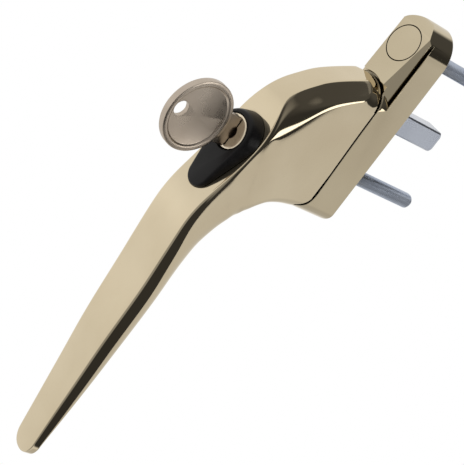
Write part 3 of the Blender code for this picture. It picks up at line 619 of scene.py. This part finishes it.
def teardrop(big, small, steps=40):
    """(x, drop) outline around two circles of different radius."""
    lean = math.asin((big - small) / (TEARDROP_LOW - LOCK_DROP))
    points = []
    for i in range(2 * steps + 1):
        angle = -lean + (math.pi + 2 * lean) * i / (2 * steps)
        points.append((big * math.cos(angle), LOCK_DROP - big * math.sin(angle)))
    for i in range(steps + 1):
        angle = math.pi + lean + (math.pi - 2 * lean) * i / steps
        points.append((small * math.cos(angle), TEARDROP_LOW - small * math.sin(angle)))
    return points


def build_surround():
    surround = loft([[at(x, reach + rise * (drop - LOCK_DROP), drop)
                      for x, drop in teardrop(big, small)]
                     for reach, big, small, rise in SURROUND_LEVELS], "black_surround", BLACK)
    # Cut the back to the lever's outer line between two stations, a little clear of it
    start, end = arc[6], arc[16]
    edge = []
    for i in range(121):
        along = start + (end - start) * i / 120
        edge.append((CURVES[0](along) + 0.14, CURVES[1](along)))
    outline = [(20, -5), (41, -5)] + edge + [(30, edge[-1][1]), (20, edge[-1][1])]
    cut(surround, prism(outline, side, -14, 14))
    cut(surround, bore(7.2, reach=(40.5, 47.0), drop=LOCK_DROP, segments=128), "UNION")
    cut(surround, bore(5.85, reach=(30, 60), drop=LOCK_DROP, segments=128))
    complete(surround, 38, "lever_body", "lock_surround")


# ------------------------------------------------------------------ lock plug
# (radius, reach) about the lock axis
PLUG = [(0, LOCK_FACE), (4.9, LOCK_FACE), (5.2, LOCK_FACE - 0.04), (5.42, LOCK_FACE - 0.16),
        (5.55, LOCK_FACE - 0.38), (5.55, 46.0), (5.2, 46.0), (5.2, 24.9), (2.8, 24.9),
        (2.8, 19.4), (0, 19.4)]


def build_plug():
    plug = lathe(PLUG, LOCK_DROP, 128, name="plug_and_face", material=FACE)
    # Keyhole: a slot, with a round opening at its middle
    cut(plug, box(x=(-1.15, 1.15), reach=(26.0, 60), drop=(LOCK_DROP - 4.25, LOCK_DROP + 4.25)))
    cut(plug, bore(2.25, reach=(42.5, 60), drop=LOCK_DROP))
    for wafer in WAFER_REACHES:
        cut(plug, box(x=(-3.4, 3.4), reach=(wafer - 0.8, wafer + 0.8),
                      drop=(LOCK_DROP - 6, LOCK_DROP + 6)))
    # Cross hole through the tail
    cut(plug, bar(1.15, at(-6, 21.25, LOCK_DROP), at(6, 21.25, LOCK_DROP), 32))
    complete(plug, 35, "plug_body", "lock_plug")


# ------------------------------------------------------------------ key
STOP = 49.2            # reach of the shoulder
BOW_REACH = 64.0       # centre of the round bow
BOW_R = 11.5
BIT_DEPTHS = (1.3, 0.6, 1.7, 0.9, 1.5)
# (reach, drop from the lock axis): the tip, and the shoulder running into the bow
KEY_TIP = [(STOP, -3.7), (28.4, -3.7), (27.4, -2.9), (26.7, -2.0), (26.4, -1.2), (26.4, 0.8),
           (26.7, 1.5), (28.0, 2.9)]
SHOULDER = [(STOP, 4.6), (STOP + 0.12, 4.88), (STOP + 0.4, 5.0), (BOW_REACH - 9.0, 5.0),
            (BOW_REACH - 9.0, -5.0), (STOP + 0.4, -5.0), (STOP + 0.12, -4.88), (STOP, -4.6)]
# (radius, x) of the bow's right face, with a raised rim
BOW = [(0, 0.72), (9.3, 0.72), (9.55, 0.78), (9.75, 0.95), (9.9, 1.12), (10.15, 1.2),
       (11.15, 1.2), (11.36, 1.12), (11.47, 0.96), (BOW_R, 0.8)]


def build_key():
    outline = list(KEY_TIP)
    for wafer, depth in zip(WAFER_REACHES, BIT_DEPTHS):
        outline += [(wafer - 0.9, 3.55), (wafer - 0.3, 3.7 - depth), (wafer + 0.3, 3.7 - depth),
                    (wafer + 0.9, 3.55)]
    outline += [(41.0, 3.7), (STOP, 3.7)] + SHOULDER
    key = prism([(reach, LOCK_DROP + drop) for reach, drop in outline], side, -0.9, 0.9,
                "cut_key", NICKEL)

    def place(radius, x, angle):
        return at(x, BOW_REACH + radius * math.cos(angle), LOCK_DROP + radius * math.sin(angle))
    cut(key, revolve(BOW + [(r, -x) for r, x in reversed(BOW)], place, 144), "UNION")
    hole = BOW_REACH + 7.0
    cut(key, bar(2.4, at(-5, hole, LOCK_DROP), at(5, hole, LOCK_DROP)))
    for groove in ((-2, -0.5), (0.5, 2)):
        cut(key, box(x=groove, reach=(20, 47.5), drop=(LOCK_DROP - 1.6, LOCK_DROP - 0.4)))
    complete(key, 30, "key_body", "key")


# ------------------------------------------------------------------ spindle
# half width, corner chamfer, reach
SPINDLE = [
    (2.45, 0.7, -SPINDLE_BACK), (2.7, 0.75, -SPINDLE_BACK + 0.25),
    (3.25, 0.85, -SPINDLE_BACK + 1.1), (3.44, 0.62, -SPINDLE_BACK + 1.6),
    (3.5, 0.5, -SPINDLE_BACK + 2.1), (3.5, 0.5, -1.0), (3.5, 0.9, -0.2),
    (3.5, 0.9, SPINDLE_FRONT - 0.6), (3.0, 0.8, SPINDLE_FRONT)]


def square_ring(half, chamfer, reach):
    """Square with chamfered, slightly bulging corners."""
    short = half - chamfer
    points = []
    for sx, sd in ((1, 1), (-1, 1), (-1, -1), (1, -1)):
        a, b = (sx * half, sd * short), (sx * short, sd * half)
        if sx * sd < 0:
            a, b = b, a
        middle = ((a[0] + b[0]) / 2 + sx * chamfer * 0.06,
                  (a[1] + b[1]) / 2 + sd * chamfer * 0.06)
        points += [a, middle, b]
    return [at(x, reach, drop) for x, drop in points]


def build_spindle():
    spindle = loft([square_ring(*row) for row in SPINDLE], "square_spindle", ZINC)
    cut(spindle, bar(1.35, at(0, 15.2, -8), at(0, 15.2, 8), 48))
    complete(spindle, 25, "lever_body", "spindle")


# ------------------------------------------------------------------ fixing screws
HEAD_REACH = 5.2
SCREW_LENGTH = 40.0
SCREW_SEGMENTS = 36
THREAD_PITCH = 0.8
THREAD_START = HEAD_REACH - 3.6
THREAD_END = HEAD_REACH - SCREW_LENGTH
# radius, depth below the top of the head
SCREW_HEAD = [(4.3, 0), (4.55, 0.05), (4.68, 0.14), (4.7, 0.24), (4.6, 0.36), (2.6, 2.4),
              (2.42, 2.8), (2.22, 3.4)]


def thread_radius(reach, angle):
    """Core radius plus the ridge, which fades at both ends."""
    fade = min(1.0, (THREAD_START - reach) / 1.2 + 0.15, (reach - THREAD_END) + 0.1)
    phase = (reach / THREAD_PITCH + angle / (2 * math.pi)) % 1.0
    ridge = 1.0 - abs(2 * phase - 1.0)
    ridge = min(1.0, max(0.0, (ridge - 0.12) / 0.72))
    lead = min(1.0, (reach - THREAD_END) / 0.9)
    return (2.02 - 0.25 * (1 - lead)) + 0.38 * ridge * fade


def build_screw(name, drop, stands_for):
    def circle(reach, radius_at):
        points = []
        for i in range(SCREW_SEGMENTS):
            angle = 2 * math.pi * i / SCREW_SEGMENTS
            radius = radius_at(reach, angle)
            points.append(at(radius * math.cos(angle), reach, drop - radius * math.sin(angle)))
        return points

    def rectangle(half_x, half_d, reach):
        return [at(x, reach, drop + d) for x, d in ((half_x, -half_d), (half_x, half_d),
                                                    (-half_x, half_d), (-half_x, -half_d))]

    rings = [circle(HEAD_REACH - depth, lambda reach, angle, r=radius: r)
             for radius, depth in SCREW_HEAD]
    steps = int((THREAD_START - THREAD_END) / 0.1)
    rings += [circle(THREAD_START - (THREAD_START - THREAD_END) * k / steps, thread_radius)
              for k in range(steps + 1)]
    screw = loft(rings, name, THREAD)
    # Tapered cross recess: half length and half width, each narrowing to its share below
    long, narrow = 2.4, 0.55
    low_long, low_narrow = long * 0.45, narrow * 0.8
    for floor_size, mouth_size in (((low_long, low_narrow), (long, narrow)),
                                   ((low_narrow, low_long), (narrow, long))):
        cut(screw, loft([rectangle(*floor_size, HEAD_REACH - 2.0),
                         rectangle(*mouth_size, HEAD_REACH + 0.5)]))
    complete(screw, 40, "base_body", stands_for)


# ------------------------------------------------------------------ world, floor, camera
def build_world():
    """Pale surroundings with a dark card to the right; plain white to the camera."""
    world = bpy.data.worlds.new("studio")
    scene.world = world
    world.use_nodes = True
    tree = world.node_tree
    tree.nodes.clear()
    output = add(tree, "OutputWorld")
    light = add(tree, "Background")
    direction = add(tree, "TexCoord").outputs["Generated"]
    x, y, z = add(tree, "SeparateXYZ", {0: direction}).outputs

    def maths(operation, *values):
        return add(tree, "Math", dict(enumerate(values)), operation=operation).outputs[0]

    def times(a, b):
        return maths("MULTIPLY", a, b)

    def minus(a, b):
        return maths("SUBTRACT", a, b)

    def ramp(value, start, end, falling=False):
        return add(tree, "MapRange", {
            "Value": value, "From Min": start, "From Max": end,
            "To Min": 1.0 if falling else 0.0, "To Max": 0.0 if falling else 1.0},
            interpolation_type="SMOOTHSTEP").outputs["Result"]

    def window(value, rise, fall):
        return times(ramp(value, *rise), ramp(value, *fall, falling=True))

    # Degrees: azimuth 0 is +X and -90 is towards the room
    azimuth = times(maths("ARCTAN2", y, x), 180 / math.pi)
    elevation = times(maths("ARCSINE", z), 180 / math.pi)
    # Dark card on the right, and a higher part that runs further round to the back
    card = window(azimuth, (-12, 0), (44.6, 46.2))
    card = times(card, ramp(elevation, -40, -30))
    card = times(card, ramp(elevation, 60, 75, falling=True))
    high = times(window(azimuth, (18, 30), (92, 110)), window(elevation, (6, 9), (55, 72)))
    card = maths("MAXIMUM", card, high)
    darkness = maths("ADD", 0.955, times(ramp(elevation, 16, 32), -0.05))
    # The camera's own side is dimmed
    camera_side = times(window(azimuth, (-75, -55), (-8, 2)),
                        ramp(elevation, 35, 60, falling=True))
    # General level by height; the second term has no weight, so it changes nothing
    level = minus(1.02, times(ramp(elevation, -12, 12), 0.10))
    level = minus(level, times(ramp(elevation, -16, -34), 0.0))
    level = minus(level, times(ramp(elevation, -30, -15, falling=True), 0.10))
    # Low part at the back, a little dimmer
    back = times(window(azimuth, (36, 44), (96, 130)), ramp(elevation, 4, 10, falling=True))
    level = minus(level, times(back, 0.28))
    level = times(level, minus(1.0, times(camera_side, 0.60)))
    # Bright strip in front of the card
    strip = times(window(azimuth, (23, 26), (43, 46)), window(elevation, (-5, -3), (16, 20)))
    level = times(level, minus(1.0, times(card, darkness)))
    level = maths("ADD", level, times(strip, 2.2))
    wire(tree, light, {"Strength": level, "Color": (1.0, 0.985, 0.955, 1)})
    white = add(tree, "Background", {"Color": (1, 1, 1, 1), "Strength": 1.0})
    seen = add(tree, "LightPath").outputs["Is Camera Ray"]
    mix = add(tree, "MixShader", {0: seen, 1: light.outputs[0], 2: white.outputs[0]})
    wire(tree, output, {0: mix.outputs[0]})


def build_floor():
    """Pale floor that looks pure white to the camera and is left out of reflections."""
    half, height = 6, -0.26   # m
    material = bpy.data.materials.new("pale_floor")
    material.use_nodes = True
    tree = material.node_tree
    matt = tree.nodes["Principled BSDF"]
    wire(tree, matt, {"Base Color": (0.86, 0.86, 0.85, 1), "Roughness": 0.9})
    white = add(tree, "Emission", {"Color": (1, 1, 1, 1)})
    seen = add(tree, "LightPath").outputs["Is Camera Ray"]
    mix = add(tree, "MixShader", {0: seen, 1: matt.outputs[0], 2: white.outputs[0]})
    wire(tree, tree.nodes["Material Output"], {"Surface": mix.outputs[0]})
    bm = bmesh.new()
    for x, y in ((-half, -half), (half, -half), (half, half), (-half, half)):
        bm.verts.new((x, y, height))
    bm.faces.new(bm.verts)
    floor = to_object(bm, "studio_floor", material, recalc=False)
    floor.visible_glossy = False


def build_camera():
    camera = bpy.data.cameras.new("camera")
    ob = bpy.data.objects.new("camera", camera)
    scene.collection.objects.link(ob)
    scene.camera = ob
    # Directions of the picture's right side, its bottom and the view
    right = Vector((0.50122, 0.63628, 0.58646))
    down = Vector((0.57498, 0.26159, -0.77522))
    ahead = Vector((-0.64667, 0.72575, -0.23474))
    turn = Matrix((right, -down, -ahead)).transposed()
    ob.matrix_world = Matrix.Translation(at(385.7, 455.1, -86.5)) @ turn.to_4x4()
    camera.sensor_fit = "HORIZONTAL"
    camera.sensor_width = 36.0
    camera.lens = 155.31207
    camera.clip_start = 0.01


build_lever()
build_base()
build_cap()
build_surround()
build_plug()
build_key()
build_spindle()
build_screw("upper_machine_screw", -SCREW_DROP, "fixing_screw_upper")
build_screw("lower_machine_screw", SCREW_DROP, "fixing_screw_lower")
build_world()
build_floor()
build_camera()

scene.view_settings.view_transform = "Standard"
scene.view_settings.look = "None"
scene.view_settings.exposure = 0.0
scene.view_settings.gamma = 1.0
